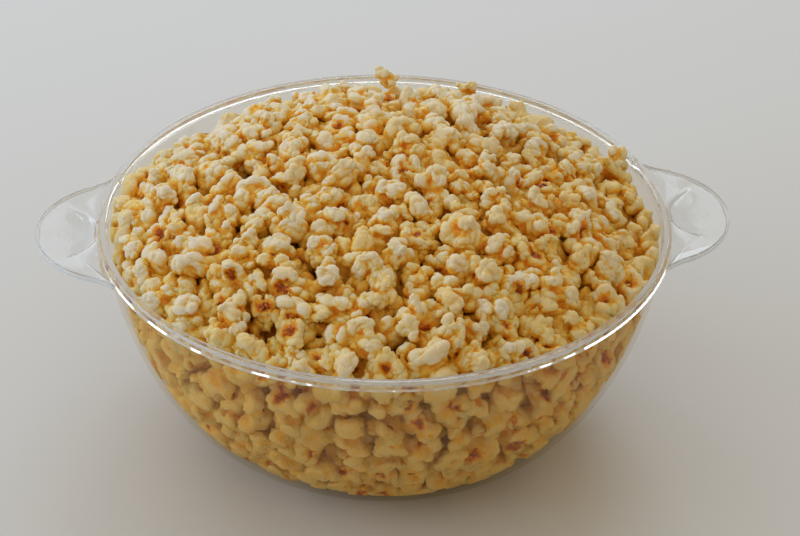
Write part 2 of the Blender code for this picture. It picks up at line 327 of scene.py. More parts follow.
def curve_through(points, steps):
    """A smooth open line through the given points."""
    result = []
    padded = [points[0]] + list(points) + [points[-1]]
    for a, b, c, d in zip(padded, padded[1:], padded[2:], padded[3:]):
        for step in range(steps):
            t = step / steps
            weights = (
                -0.5 * t ** 3 + t ** 2 - 0.5 * t,
                1.5 * t ** 3 - 2.5 * t ** 2 + 1.0,
                -1.5 * t ** 3 + 2.0 * t ** 2 + 0.5 * t,
                0.5 * t ** 3 - 0.5 * t ** 2,
            )
            weighted = list(zip(weights, (a, b, c, d)))
            result.append(tuple(sum(w * p[axis] for w, p in weighted) for axis in (0, 1)))
    result.append(tuple(points[-1]))
    return result


def tab_outline():
    """Plan outline of the right tab: its free edge, then an arc hidden in the rim band."""
    ear = [(x, -y) for x, y in TAB_SIDE] + [(TAB_TIP, 0.0)] + list(reversed(TAB_SIDE))
    outline = curve_through(ear, 5)
    corner = math.hypot(*TAB_SIDE[0])
    reach = math.atan2(TAB_SIDE[0][1], TAB_SIDE[0][0])
    steps = 36
    blend = 6.0
    for index in range(1, steps):
        share = index / steps
        angle = reach * (1.0 - 2.0 * share)
        radius = corner + (TAB_ROOT - corner) * min(1.0, blend * share, blend * (1.0 - share))
        outline.append((radius * math.cos(angle), radius * math.sin(angle)))
    return outline


def eased(share):
    return share * share * (3.0 - 2.0 * share)


def scoop(x):
    """The dish is deepest beside the rim and runs out level towards the tab's tip."""
    return eased(min(max((DISH_FAR - x) / (DISH_FAR - DISH_NEAR), 0.0), 1.0))


def tab_rows(edge):
    """The tab's section: distances from the dish's centre, depth below the top, share of the dish."""
    dish = [min(DISH_RADIUS, distance - TAB_EDGE_WIDTH - DISH_MARGIN) for distance in edge]

    def inset(amount):
        return [distance - amount for distance in edge]

    def in_dish(amount):
        return [max(distance - amount, DISH_LEAST) for distance in dish]

    rows = [
        (in_dish(DISH_RADIUS * 0.5), 0.0, DISH_DEPTH),
        (in_dish(DISH_WALL * 2.0), 0.0, DISH_DEPTH),
    ]
    for step in range(DISH_STEPS + 1):
        share = step / DISH_STEPS
        rows.append((in_dish(DISH_WALL * (1.0 - share)), 0.0, DISH_DEPTH * (1.0 - eased(share))))
    for step in range(ROUND_STEPS + 1):
        turn = math.pi / 2.0 * step / ROUND_STEPS
        out = TAB_EDGE_ROUND * (1.0 - math.sin(turn))
        rows.append((inset(out), TAB_EDGE_ROUND * (1.0 - math.cos(turn)), 0.0))
    for step in range(ROUND_STEPS + 1):
        turn = math.pi / 2.0 * step / ROUND_STEPS
        out = TAB_EDGE_ROUND * (1.0 - math.cos(turn))
        rows.append((inset(out), TAB_EDGE_HEIGHT - TAB_EDGE_ROUND * (1.0 - math.sin(turn)), 0.0))
    for wider, depth in UNDER_EDGE:
        rows.append((inset(TAB_EDGE_WIDTH + wider), depth, 0.0))
    for step in range(DISH_STEPS + 1):
        share = step / DISH_STEPS
        rows.append((in_dish(DISH_WALL * share - 0.0002), TAB_SHEET, DISH_DEPTH * eased(share)))
    rows.append((in_dish(DISH_RADIUS * 0.5), TAB_SHEET, DISH_DEPTH))
    return rows


def tab(name, side, material):
    """One ear: a thin sheet with a turned-down edge and a round dish for the thumb."""
    outline = tab_outline()
    edge = [math.hypot(x - DISH_CENTRE, y) for x, y in outline]
    shape = bmesh.new()
    rings = []
    for distances, depth, sunk in tab_rows(edge):
        ring = []
        for (x, y), length, distance in zip(outline, edge, distances):
            share = distance / length
            px = DISH_CENTRE + (x - DISH_CENTRE) * share
            height = TAB_TOP - depth - sunk * scoop(px)
            ring.append(shape.verts.new((side * px, y * share, height)))
        rings.append(ring)
    middle = TAB_TOP - DISH_DEPTH * scoop(DISH_CENTRE)
    top_middle = shape.verts.new((side * DISH_CENTRE, 0.0, middle))
    low_middle = shape.verts.new((side * DISH_CENTRE, 0.0, middle - TAB_SHEET))
    for index in range(len(edge)):
        following = (index + 1) % len(edge)
        for upper, lower in zip(rings, rings[1:]):
            shape.faces.new((upper[index], upper[following], lower[following], lower[index]))
        shape.faces.new((rings[0][following], rings[0][index], top_middle))
        shape.faces.new((rings[-1][index], rings[-1][following], low_middle))
    bmesh.ops.recalc_face_normals(shape, faces=shape.faces)
    mesh = bpy.data.meshes.new(name)
    shape.to_mesh(mesh)
    shape.free()
    return new_object(name, mesh, material)


def make_bowl(material):
    bowl = turned("clear_bowl", bowl_profile(), material)
    for name, side in (("ear_right", 1.0), ("ear_left", -1.0)):
        ear = tab(name, side, material)
        union = bowl.modifiers.new(name, 'BOOLEAN')
        union.operation = 'UNION'
        union.solver = 'EXACT'
        union.object = ear
        mesh = evaluated_mesh(bowl)
        bowl.modifiers.clear()
        bowl.data = mesh
        bpy.data.objects.remove(ear, do_unlink=True)
    bowl.data.shade_smooth()
    bowl.data.set_sharp_from_angle(angle=math.radians(SMOOTH_BELOW))
    return bowl


# Popcorn pieces


def any_direction(draw):
    return Vector((draw.gauss(0.0, 1.0), draw.gauss(0.0, 1.0), draw.gauss(0.0, 1.0))).normalized()


def facing(way, draw):
    """A turn that brings Z to the given direction, with a random spin."""
    turn = Vector((0.0, 0.0, 1.0)).rotation_difference(way).to_matrix()
    return turn @ Matrix.Rotation(draw.uniform(0.0, 2.0 * math.pi), 3, 'Z')


def flake_puffs(draw):
    """One popped flake, about 1 in radius: broad lobes round a middle, with smaller puffs on them."""
    puffs = [(Vector((0.0, 0.0, 0.05)), Vector((0.48, 0.46, 0.40)), Matrix.Identity(3))]
    lobes = []
    wanted = draw.choice(LOBE_COUNTS)
    spacing = LOBE_SPACING if wanted < max(LOBE_COUNTS) else CROWDED_SPACING
    while len(lobes) < wanted:
        way = any_direction(draw)
        if way.z > LOWEST_LOBE and all(way.angle(other) > spacing for other in lobes):
            lobes.append(way)
    for way in lobes:
        broad = draw.uniform(*LOBE_BREADTH)
        size = Vector((broad, broad * draw.uniform(*LOBE_SLIMNESS), draw.uniform(*LOBE_THICKNESS)))
        middle = way * draw.uniform(*LOBE_REACH)
        turn = facing((way + any_direction(draw) * LOBE_TILT).normalized(), draw)
        puffs.append((middle, size, turn))
        for _ in range(draw.choice(PUFF_COUNTS)):
            side = way.cross(any_direction(draw)).normalized()
            lift = way * draw.uniform(*PUFF_LIFT) + side * broad * draw.uniform(*PUFF_SIDE)
            small = draw.uniform(*PUFF_SIZE)
            stretched = Vector((small * draw.uniform(*PUFF_STRETCH), small, small * PUFF_FLATNESS))
            puffs.append((middle + lift, stretched, facing(side, draw)))
    return puffs


def flake_mesh(puffs):
    """The puffs melted together into one soft skin."""
    shape = bmesh.new()
    for middle, size, turn in puffs:
        placed = Matrix.Translation(middle) @ turn.to_4x4() @ Matrix.Diagonal(size).to_4x4()
        bmesh.ops.create_icosphere(shape, subdivisions=3, radius=1.0, matrix=placed)
    mesh = bpy.data.meshes.new("flake")
    shape.to_mesh(mesh)
    shape.free()
    made = bpy.data.objects.new("flake", mesh)
    bpy.context.scene.collection.objects.link(made)
    remesh = made.modifiers.new("skin", 'REMESH')
    remesh.mode = 'VOXEL'
    remesh.voxel_size = SKIN_CELL
    soften = made.modifiers.new("soften", 'SMOOTH')
    soften.factor = 0.5
    soften.iterations = 3
    skin = evaluated_mesh(made)
    bpy.data.objects.remove(made, do_unlink=True)
    return skin


def billow(place, scale):
    """Swelling round cells with sharp valleys between them: 1 at a cell's middle, 0 in a valley."""
    near, second = noise.voronoi(place * scale)[0][:2]
    return math.sqrt(min(1.0, (second - near) / CELL_EDGE))


def swollen(skin, shift):
    """Gives the skin its swelling cells and creases, moving each point along its normal."""
    ways = [normal.vector.copy() for normal in skin.vertex_normals]
    for vertex, way in zip(skin.vertices, ways):
        place = vertex.co + shift
        warp = Vector(noise.noise_vector(place * WARP_SCALE)) * WARP_AMOUNT
        rise = sum(high * (billow(place + warp, scale) - SWELL_LEVEL) for high, scale in SWELLS)
        vertex.co = vertex.co + way * rise
    return skin


def thinned(skin, triangles):
    """Points and triangles of a skin, brought down to about the number asked for."""
    made = bpy.data.objects.new("thin", skin)
    bpy.context.scene.collection.objects.link(made)
    thin = made.modifiers.new("thin", 'DECIMATE')
    thin.ratio = min(1.0, triangles / (2.0 * len(skin.polygons)))
    mesh = evaluated_mesh(made)
    bpy.data.objects.remove(made, do_unlink=True)
    mesh.calc_loop_triangles()
    points = np.zeros(len(mesh.vertices) * 3)
    mesh.vertices.foreach_get("co", points)
    corners = np.zeros(len(mesh.loop_triangles) * 3, int)
    mesh.loop_triangles.foreach_get("vertices", corners)
    bpy.data.meshes.remove(mesh)
    return points.reshape(-1, 3), corners.reshape(-1, 3)


def neighbour_mean(values, corners, count):
    """Mean of each point's neighbours."""
    total = np.zeros((count,) + values.shape[1:])
    seen = np.zeros(count)
    for a, b in ((0, 1), (1, 2), (2, 0), (1, 0), (2, 1), (0, 2)):
        np.add.at(total, corners[:, a], values[corners[:, b]])
        np.add.at(seen, corners[:, a], 1.0)
    return total / seen.reshape((-1,) + (1,) * (values.ndim - 1))


def point_normals(points, corners):
    a, b, c = (points[corners[:, index]] for index in range(3))
    flat = np.cross(b - a, c - a)
    normals = np.zeros_like(points)
    for index in range(3):
        np.add.at(normals, corners[:, index], flat)
    return normals / np.maximum(np.linalg.norm(normals, axis=1), 1e-12)[:, None]


def flake_kind(seed):
    """One kind of flake at four levels of detail, with where it is creased, which carries painted shade,
    and where its hull is.
    """
    draw = random.Random(seed)
    shift = Vector((seed * 3.7, seed * 1.9, seed * 5.1))
    skin = swollen(flake_mesh(flake_puffs(draw)), shift)
    cup_size = draw.uniform(*CUP_SIZE)
    levels = {}
    for triangles in (FINE, MEDIUM, SEEN_THROUGH, COARSE):
        points, corners = thinned(skin, triangles)
        length = np.linalg.norm(points, axis=1)
        down = -points[:, 2] / np.maximum(length, 1e-9)
        ragged = np.array([noise.noise(Vector(p) * RAGGED_SCALE + shift) for p in points])
        cup = np.clip((down - (1.0 - cup_size) + RAGGED_AMOUNT * ragged) / CUP_EDGE, 0.0, 1.0)
        points = points * (1.0 - CUP_DEPTH * eased(cup))[:, None]
        mean = neighbour_mean(points, corners, len(points))
        mean = 0.5 * mean + 0.5 * neighbour_mean(mean, corners, len(points))
        hollow = np.einsum("ij,ij->i", mean - points, point_normals(points, corners))
        hollow = hollow / np.std(hollow)
        hollow = 0.5 * hollow + 0.5 * neighbour_mean(hollow, corners, len(points))
        depth = 1.0 - np.clip(np.linalg.norm(points, axis=1) / CREASE_RADIUS, 0.0, 1.0)
        # Painted shade: hollows and points near the flake's middle count as creased and are coloured
        # golden
        crease_shade = np.clip(0.30 * hollow + 0.9 * depth, 0.0, 1.0)
        size = np.percentile(np.linalg.norm(points, axis=1), RADIUS_PERCENTILE)
        levels[triangles] = (points / size, corners, crease_shade, cup)
    bpy.data.meshes.remove(skin)
    return levels


# Popcorn heap


def heap_top(x, y):
    """Height of the tops of the popcorn: a dome that sinks beside the wall, most in three places."""
    radius = np.hypot(x, y)
    angle = np.degrees(np.arctan2(y, x))
    dome = HEAP_TOP * (1.0 - (radius / HEAP_REACH) ** HEAP_POWER)
    sink = SINK_ALL_ROUND
    for centre, spread, depth in SINKS:
        away = (angle - centre + 180.0) % 360.0 - 180.0
        sink = sink + depth * np.exp(-((away / spread) ** 2))
    swell = SWELL_HEIGHT * np.sin(41.0 * x + 1.3) * np.cos(37.0 * y - 0.6)
    return RIM + dome - sink * (radius / SINK_RADIUS) ** SINK_POWER + swell


def ring_places(draw, count, low, high, sunk):
    """Pieces along the wall at the top of the heap."""
    places = []
    for index in range(count):
        size = draw.uniform(low, high)
        radius = HEAP_EDGE - size * draw.uniform(1.0, 1.2)
        angle = 2.0 * math.pi * (index + draw.uniform(-0.15, 0.15)) / count
        x = radius * math.cos(angle)
        y = radius * math.sin(angle)
        height = heap_top(x, y) - size - sunk + draw.uniform(-HEIGHT_JITTER, HEIGHT_JITTER)
        places.append((Vector((x, y, height)), size))
    return places


def dome_places(draw, count, reach, low, high, sunk):
    """Pieces spread over the dome like the seeds of a sunflower, a little disturbed."""
    places = []
    for index in range(count):
        size = draw.uniform(low, high)
        radius = reach * math.sqrt((index + 0.5) / count)
        angle = index * GOLDEN_ANGLE + sunk * LAYER_TURN
        x = radius * math.cos(angle) + draw.uniform(-PLACE_JITTER, PLACE_JITTER)
        y = radius * math.sin(angle) + draw.uniform(-PLACE_JITTER, PLACE_JITTER)
        height = heap_top(x, y) - size - sunk + draw.uniform(-HEIGHT_JITTER, HEIGHT_JITTER)
        places.append((Vector((x, y, height)), size))
    return places


def wall_places(draw, rows, spacing, low, high, behind):
    """Pieces in rows up the inside of the wall."""
    places = []
    for row in range(rows):
        share = row / (rows - 1)
        height = WALL_LOW + (WALL_HIGH - WALL_LOW) * share ** 1.1
        reach = float(inner_radius(height)) - 0.5 * (low + high) * 0.92 - behind
        count = max(6, int(2.0 * math.pi * reach / spacing))
        for index in range(count):
            angle = 2.0 * math.pi * (index + 0.5 * (row % 2) + draw.uniform(-0.22, 0.22)) / count
            size = draw.uniform(low, high)
            radius = reach + draw.uniform(-0.002, 0.001)
            lift = height + draw.uniform(-0.004, 0.004)
            places.append((Vector((radius * math.cos(angle), radius * math.sin(angle), lift)), size))
    return places


def pressed_inside(points):
    """Points that would reach into the wall or floor are pressed back to just inside it."""
    heights = np.maximum(points[:, 2], FLOOR + WALL_GAP)
    limit = np.where(heights < RIM, inner_radius(heights) - WALL_GAP, HEAP_EDGE - WALL_GAP)
    limit = np.minimum(limit, HEAP_EDGE - WALL_GAP)
    reach = np.hypot(points[:, 0], points[:, 1])
    share = np.minimum(1.0, limit / np.maximum(reach, 1e-9))
    return np.column_stack((points[:, 0] * share, points[:, 1] * share, heights))


def flake_turn(draw, outward):
    """A random turn; four pieces in ten show their hull side, the rest hide it."""
    if draw.random() < HULL_SHOWN:
        cup_way = (outward + any_direction(draw) * 0.7).normalized()
    else:
        cup_way = (any_direction(draw) - outward * 0.8).normalized()
    lean = Vector((0.0, 0.0, -1.0)).rotation_difference(cup_way).to_matrix()
    return lean @ Matrix.Rotation(draw.uniform(0.0, 2.0 * math.pi), 3, 'Z')


def heap_layer(places, kinds, triangles, butter_and_shade, draw):
    """One flake for each place, as arrays of points, triangles and what colours them."""
    labels = ("points", "corners", "crease_shade", "hull", "butter_and_shade", "shade", "flake")
    layer = {label: [] for label in labels}
    offset = 0
    middle = Vector((0.0, 0.0, 0.06))
    for place, size in places:
        points, corners, crease_shade, hull = draw.choice(kinds)[triangles]
        turn = np.array(flake_turn(draw, (place - middle).normalized()))
        long_way = np.array([draw.uniform(*FLAKE_LENGTH), 1.0, draw.uniform(*FLAKE_HEIGHT)])
        scaled = points * long_way * size * FLAKE_STRETCH
        layer["points"].append(pressed_inside(scaled @ turn.T + np.array(place)))
        layer["corners"].append(corners + offset)
        offset += len(points)
        layer["crease_shade"].append(crease_shade)
        layer["hull"].append(hull * (FAINT_HULL if draw.random() < FAINT_SHARE else 1.0))
        # The flake's own random yellow tone, with painted shade: deeper layers and the right and front
        # come out yellower
        rich = draw.gauss(butter_and_shade, BUTTER_SPREAD)
        rich = rich + PAINTED_SHADE_SLOPE[0] * place.x + PAINTED_SHADE_SLOPE[1] * place.y
        layer["butter_and_shade"].append(np.full(len(points), min(max(rich, 0.0), 1.0)))
        layer["shade"].append(np.full(len(points), draw.random()))
        layer["flake"].append(points + np.array([draw.uniform(0.0, PATTERN_SHIFT) for _ in range(3)]))
    return {label: np.concatenate(parts) for label, parts in layer.items()}


def sunk_depth(points):
    """How far each point lies inside the heap, from its top or from the bowl's wall."""
    reach = np.hypot(points[:, 0], points[:, 1])
    below_top = heap_top(points[:, 0], points[:, 1]) - points[:, 2]
    from_wall = inner_radius(np.clip(points[:, 2], 0.0, RIM)) - reach
    return np.clip(np.minimum(below_top - TOP_SKIN, from_wall), 0.0, None)


def box_blurred(grid, reach):
    """Mean over a box of cells, one axis after another."""
    for axis in range(3):
        total = grid.copy()
        for step in range(1, reach + 1):
            total += np.roll(grid, step, axis) + np.roll(grid, -step, axis)
        grid = total / (2 * reach + 1)
    return grid


def crowding(layers):
    """Adds to each point its painted shade: how crowded the space in front of it is, how deep it lies,
    and how far under the rim behind the wall; 0 in the open, 1 deep in the heap.
    """
    cell = 0.0025
    ahead = 0.0045
    margin = 8 * cell
    points = np.concatenate([layer["points"] for layer in layers])
    low = points.min(axis=0) - margin
    shape = np.ceil((points.max(axis=0) + margin - low) / cell).astype(int)
    places = ((points - low) / cell).astype(int)
    filled = np.zeros(shape, np.float32)
    filled[tuple(places.T)] = 1.0
    density = box_blurred(box_blurred(filled, 1), 1)
    for layer in layers:
        looking = layer["points"] + point_normals(layer["points"], layer["corners"]) * ahead
        looked = np.clip(((looking - low) / cell).astype(int), 0, shape - 1)
        crowd_shade = np.clip((density[tuple(looked.T)] - CROWD_FROM) / CROWD_RANGE, 0.0, 1.0)
        deep = np.clip(sunk_depth(layer["points"]) / DEEP_RANGE, 0.0, 1.0)
        shade_below_rim = np.clip((RIM - WARM_FROM - layer["points"][:, 2]) / WARM_RANGE, 0.0, 1.0)
        layer["crowd_shade"] = np.maximum(np.maximum(crowd_shade, deep), WALL_PAINTED_SHADE * shade_below_rim)


def heap_piece(name, layer, material):
    """One piece of the heap from a layer's arrays."""
    points, corners = layer["points"], layer["corners"]
    mesh = bpy.data.meshes.new(name)
    mesh.vertices.add(len(points))
    mesh.vertices.foreach_set("co", points.ravel())
    mesh.loops.add(corners.size)
    mesh.loops.foreach_set("vertex_index", corners.ravel().astype(np.int32))
    mesh.polygons.add(len(corners))
    mesh.polygons.foreach_set("loop_start", np.arange(0, corners.size, 3, dtype=np.int32))
    mesh.update(calc_edges=True)
    mesh.validate()
    for label in ("crease_shade", "hull", "butter_and_shade", "shade", "crowd_shade"):
        stored = mesh.attributes.new(label, 'FLOAT', 'POINT')
        stored.data.foreach_set("value", layer[label].astype(np.float32))
    stored = mesh.attributes.new("flake", 'FLOAT_VECTOR', 'POINT')
    stored.data.foreach_set("vector", layer["flake"].astype(np.float32).ravel())
    mesh.shade_smooth()
    made = new_object(name, mesh, material)
    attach(made, "root")
    return made


def make_core(material):
    """The inside of the heap in painted shade colours, seen only in the deepest gaps between pieces."""
    heights = np.linspace(FLOOR + CORE_BOTTOM, CORE_SHOULDER, 14)
    profile = [(0.0, float(heights[0]))]
    profile += [(float(inner_radius(height)) - CORE_INSET, float(height)) for height in heights]
    for share in np.linspace(0.86, 0.0, 12):
        radius = float(inner_radius(CORE_SHOULDER) - CORE_INSET) * share
        profile.append((radius, heap_top(0.0, -radius) - CORE_SUNK))
    core = turned("popcorn_core", list(reversed(profile)), material)
    core.data.shade_smooth()
    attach(core, "root")


def make_popcorn(material, inner_material):
    # Without a seed of its own the noise would change from run to run
    noise.seed_set(SEED)
    draw = random.Random(SEED)
    kinds = [flake_kind(SEED + index) for index in range(KINDS)]
    standing = [(Vector((x, y, RIM + top - size)), size) for x, y, top, size in STANDING_PIECES]
    top_draw = random.Random(PLACES_SEED)
    ring = ring_places(top_draw, 38, low=0.0100, high=0.0138, sunk=0.0)
    dome = dome_places(top_draw, 116, reach=0.1385, low=0.0100, high=0.0138, sunk=0.0)
    between = dome_places(draw, 208, reach=0.1520, low=0.0084, high=0.0112, sunk=0.0042)
    below = dome_places(draw, 300, reach=0.1540, low=0.0095, high=0.0125, sunk=0.0110)
    wall = wall_places(draw, 9, spacing=0.0185, low=0.0092, high=0.0128, behind=-0.0022)
    behind = wall_places(draw, 8, spacing=0.0225, low=0.0100, high=0.0130, behind=0.0090)
    half = len(wall) // 2
    # The last number of each layer is its mean yellow; deeper layers and those behind the wall are
    # yellower as painted shade
    planned = (
        ("popcorn_dome_even", dome[0::2], FINE, 0.34),
        ("popcorn_dome_odd", dome[1::2], FINE, 0.34),
        ("popcorn_ring", ring + standing, FINE, 0.40),
        ("popcorn_between", between, MEDIUM, 0.50),
        ("popcorn_below", below, COARSE, 0.75),
        ("popcorn_wall_low", wall[:half], SEEN_THROUGH, 0.90),
        ("popcorn_wall_high", wall[half:], SEEN_THROUGH, 0.90),
        ("popcorn_wall_behind", behind, COARSE, 0.95),
    )
    layers = [heap_layer(places, kinds, triangles, butter_and_shade, draw)
              for _, places, triangles, butter_and_shade in planned]
    crowding(layers)
    made = [heap_piece(plan[0], layer, material) for plan, layer in zip(planned, layers)]
    make_core(inner_material)
    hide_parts("popcorn")


# Materials


class Nodes:
    """A short way to build a material's nodes."""

    def __init__(self, name):
        self.material = bpy.data.materials.new(name)
        self.material.use_nodes = True
        self.tree = self.material.node_tree
        self.shader = self.tree.nodes["Principled BSDF"]
        self.output = self.tree.nodes["Material Output"]

    def add(self, kind, settings=None, **inputs):
        node = self.tree.nodes.new(kind)
        for key, value in (settings or {}).items():
            setattr(node, key, value)
        for key, value in inputs.items():
            self.set(node, key.replace("_", " "), value)
        return node

    def set(self, node, key, value):
        socket = node.inputs[int(key)] if key.isdigit() else node.inputs[key]
        if isinstance(value, bpy.types.NodeSocket):
            self.tree.links.new(value, socket)
        else:
            socket.default_value = value

    def attribute(self, name):
        return self.add("ShaderNodeAttribute", {"attribute_name": name}).outputs["Fac"]

    def noise(self, scale, detail=3.0, roughness=0.5, place=None):
        place = place or self.add("ShaderNodeTexCoord").outputs["Object"]
        made = self.add("ShaderNodeTexNoise", Scale=scale, Detail=detail, Roughness=roughness)
        self.set(made, "Vector", place)
        return made.outputs["Fac"]

    def math(self, operation, a, b=0.0, clamp=False):
        node = self.add("ShaderNodeMath", {"operation": operation, "use_clamp": clamp})
        self.set(node, "0", a)
        self.set(node, "1", b)
        return node.outputs[0]

    def spread(self, value, low, high, to_low=0.0, to_high=1.0):
        node = self.add("ShaderNodeMapRange", {"interpolation_type": 'SMOOTHSTEP'})
        for key, number in zip(("0", "1", "2", "3", "4"), (value, low, high, to_low, to_high)):
            self.set(node, key, number)
        return node.outputs[0]

    def mix(self, share, a, b):
        node = self.add("ShaderNodeMix", {"data_type": 'RGBA'})
        self.set(node, "0", share)
        self.set(node, "6", a)
        self.set(node, "7", b)
        return node.outputs[2]


# Cream is the flakes' own colour; the yellow is their butter tone and also light painted shade; gold and
# orange are painted shade in folds and gaps; the deep shade brown is the core's painted shade
CREAM = (0.850, 0.830, 0.735, 1.0)
BUTTER_AND_SHADE_YELLOW = (0.865, 0.675, 0.240, 1.0)
SHADE_GOLD = (0.900, 0.530, 0.062, 1.0)
SHADE_ORANGE = (0.900, 0.370, 0.035, 1.0)
DEEP_SHADE_BROWN = (0.420, 0.160, 0.020, 1.0)
SHELL_YELLOW = (0.880, 0.450, 0.028, 1.0)
AMBER = (0.780, 0.225, 0.010, 1.0)
HULL_BROWN = (0.360, 0.080, 0.010, 1.0)
MAROON = (0.080, 0.016, 0.008, 1.0)


def popcorn_material():
    """Creamy to buttery puffed lobes, with painted shade in gold and orange in the folds and gaps, and
    amber to red-brown hull in the cups.
    """
    n = Nodes("popped_corn_flakes")
    crease_shade = n.attribute("crease_shade")
    hull = n.attribute("hull")
    crowd_shade = n.attribute("crowd_shade")
    place = n.add("ShaderNodeAttribute", {"attribute_name": "flake"}).outputs["Vector"]
    blotch = n.noise(2.2, 3.0, 0.55, place)
    grain = n.noise(14.0, 3.0, 0.6, place)
    wrinkle = n.noise(5.0, 2.0, 0.5, place)
    spots = n.spread(blotch, 0.30, 0.72, -0.16, 0.16)

    yellow = n.math('ADD', n.attribute("butter_and_shade"), n.math('MULTIPLY', spots, 1.8), True)
    # Painted shade: crowded, sunk and creased places and the popcorn behind the wall turn yellow, gold
    # and then orange; the spots are the flakes' own blotches
    painted_shade_and_spots = n.math('ADD', n.math('MULTIPLY', crowd_shade, 0.90), n.math('MULTIPLY', crease_shade, 0.75))
    painted_shade_and_spots = n.math('ADD', painted_shade_and_spots, spots)
    yellow_and_shade = n.math('MAXIMUM', n.math('MULTIPLY', yellow, 0.78), n.spread(painted_shade_and_spots, 0.00, 0.40))
    skin = n.mix(yellow_and_shade, CREAM, BUTTER_AND_SHADE_YELLOW)
    skin = n.mix(n.spread(painted_shade_and_spots, 0.30, 0.85), skin, SHADE_GOLD)
    skin = n.mix(n.spread(painted_shade_and_spots, 0.80, 1.30), skin, SHADE_ORANGE)

    ragged = n.math('ADD', hull, n.math('MULTIPLY', spots, 1.3))
    edge = n.spread(ragged, 0.26, 0.40)
    shell = n.mix(n.spread(ragged, 0.40, 0.75), SHELL_YELLOW, AMBER)
    dark = n.math('ADD', n.math('MULTIPLY', ragged, 0.7), n.math('MULTIPLY', wrinkle, 1.1))
    shell = n.mix(n.spread(dark, 0.98, 1.24), shell, HULL_BROWN)
    # Only the flakes with the highest shade, about one in nine, can be burnt
    burnt = n.math('MULTIPLY', n.spread(n.attribute("shade"), 0.88, 0.90), n.spread(dark, 1.10, 1.45))
    shell = n.mix(burnt, shell, MAROON)
    n.set(n.shader, "Base Color", n.mix(edge, skin, shell))
    n.set(n.shader, "Roughness", n.spread(edge, 0.2, 0.9, 0.50, 0.25))
    n.set(n.shader, "Subsurface Weight", 0.35)
    n.set(n.shader, "Subsurface Radius", (1.0, 0.65, 0.28))
    n.set(n.shader, "Subsurface Scale", 0.006)
    n.set(n.shader, "Specular IOR Level", 0.35)

    cells = n.add("ShaderNodeTexVoronoi", {"feature": 'DISTANCE_TO_EDGE'}, Scale=3.4)
    n.set(cells, "Vector", place)
    pleat = n.spread(cells.outputs["Distance"], 0.0, 0.16)
    relief = n.math('ADD', n.math('MULTIPLY', pleat, 0.55), n.math('MULTIPLY', wrinkle, 1.0))
    relief = n.math('ADD', relief, n.math('MULTIPLY', grain, 0.12))
    bump = n.add("ShaderNodeBump", Strength=0.42, Distance=0.0010)
    n.set(bump, "Height", relief)
    n.set(n.shader, "Normal", bump.outputs[0])
    return n.material


def core_material():
    n = Nodes("popped_corn_shade")
    patch = n.noise(60.0, 4.0, 0.6)
    # Painted shade: the core is dark orange-brown because the heap's inside lies in shadow
    n.set(n.shader, "Base Color", n.mix(n.spread(patch, 0.35, 0.65), DEEP_SHADE_BROWN, SHADE_ORANGE))
    n.set(n.shader, "Roughness", 0.8)
    bump = n.add("ShaderNodeBump", Strength=1.0, Distance=0.004)
    n.set(bump, "Height", patch)
    n.set(n.shader, "Normal", bump.outputs[0])
    return n.material


# Share of painted bluish-white sheen in the rim's band and the tabs, a painted reflection of the lamps,
# and how much more painted glow the tabs' turned-down edges have
RIM_PAINTED_SHEEN = 0.17
EDGE_PAINTED_GLOW = 0.38
# Share of the thin wall that neither bends light nor mirrors it
WALL_CLEAR = 0.91
# Height at which the rim's band begins, blended over a short step
BAND_FADE = (RIM - 0.0062, RIM - 0.0056)
# The tabs begin at the band's radius, blended over this step, and their edges get the painted glow below
# this height
TAB_FADE = 0.0010
EDGE_FADE = (TAB_TOP - 0.0036, TAB_TOP - 0.0018)
# Rays that the wall has guided this many times go straight on, so that the rim isn't black
GUIDED_DEPTH = 4.5


